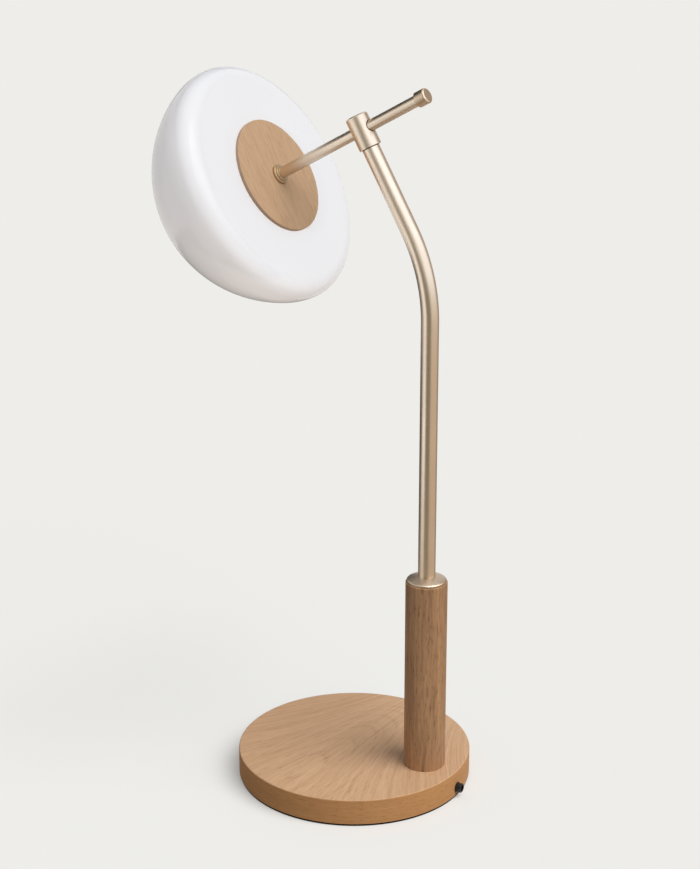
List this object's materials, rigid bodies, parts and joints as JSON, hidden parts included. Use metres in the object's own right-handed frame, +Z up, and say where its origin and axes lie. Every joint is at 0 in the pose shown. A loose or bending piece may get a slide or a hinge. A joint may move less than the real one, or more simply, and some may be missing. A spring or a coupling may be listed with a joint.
{
  "type": "table lamp",
  "caption": "Table lamp with a round oak base and column, a bent brass stem, and a brass arm that turns and slides in a tee and carries an oak disc and a closed opal glass half-globe.",
  "frame": {"origin": "centre of the foot pad's underside, where the lamp stands on the table", "axes": "+Z up; -Y forward, the way the globe leans; +X to the right of someone who faces along +Y"},
  "size_m": [0.202, 0.2767, 0.5995],
  "materials": {
    "oak": "clear matt oil on straight-grained oak",
    "satin_brass": "satin brushed, pale champagne tone",
    "opal_glass": "glossy opal white, opaque",
    "black_pad": "matt",
    "black_plastic": "matt",
    "cable": "smooth sheath",
    "steel": "zinc plated",
    "aluminium": "as machined",
    "white_plastic": "matt",
    "led": "phosphor, smooth"
  },
  "bodies": {
    "stand": {"foot_pad": "black_pad", "base_cover": "steel", "cover_screws": "steel", "base_disc": "oak", "counterweight": "steel", "weight_screws": "steel", "led_driver": "white_plastic", "terminal_block": "white_plastic", "cord_gland": "black_plastic", "gland_nut": "black_plastic", "column_dowels": "oak", "oak_column": "oak", "tie_tube": "steel", "tie_washer": "steel", "tie_nut": "steel", "collar": "satin_brass", "stem_tube": "satin_brass", "stem_foot": "satin_brass", "swivel_spigot": "satin_brass", "thrust_washer": "black_plastic", "stem_cable": "cable"},
    "tee": {"tee_sleeve": "satin_brass", "rod_bushes": "satin_brass", "swivel_screw": "steel", "guide_screw": "steel"},
    "arm": {"arm_rod": "satin_brass", "end_cap": "satin_brass", "rod_flange": "satin_brass", "oak_disc": "oak", "disc_gasket": "black_pad", "glass_globe": "opal_glass", "bridge_bar": "steel", "bridge_pads": "black_pad", "lock_washer": "steel", "lock_nut": "steel", "heat_sink": "aluminium", "led_board": "aluminium", "board_screws": "steel", "led_chips": "led", "wire_connector": "white_plastic", "arm_cable": "cable"}
  },
  "joints": [
    {"name": "arm_swivel", "type": "hinge", "parent": "stand", "child": "tee", "pos_m": [0, 0.00696, 0.56156], "axis": [0, -0.4909, 0.8712], "range_deg": [-155, 155]},
    {"name": "arm_slide", "type": "slide", "parent": "tee", "child": "arm", "axis": [0, -0.8712, -0.4909], "range_m": [-0.072, 0.044]}
  ]
}
